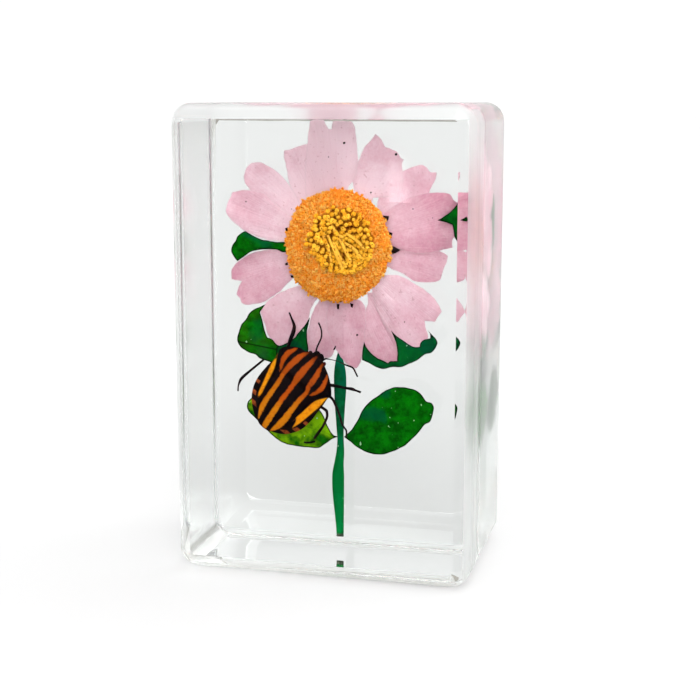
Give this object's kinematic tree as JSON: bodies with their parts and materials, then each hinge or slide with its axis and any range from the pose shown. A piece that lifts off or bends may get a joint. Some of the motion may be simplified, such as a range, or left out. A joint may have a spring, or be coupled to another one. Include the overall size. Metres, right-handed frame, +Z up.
{
  "type": "insect in resin block",
  "caption": "Clear cast resin block that stands on its short end and holds a pressed pink daisy and a striped shield bug.",
  "frame": {"origin": "centre of the base, the flat face the block stands on", "axes": "+Z up along the block's height, +X across the front face to the viewer's right, -Y the way the front face looks"},
  "size_m": [0.0374, 0.0236, 0.058],
  "materials": {
    "clear_resin": "polished",
    "petal": "matte",
    "floret": "matte",
    "leaf": "satin",
    "shell": "satin"
  },
  "bodies": {
    "root": {"resin_block": "clear_resin"}
  },
  "joints": []
}
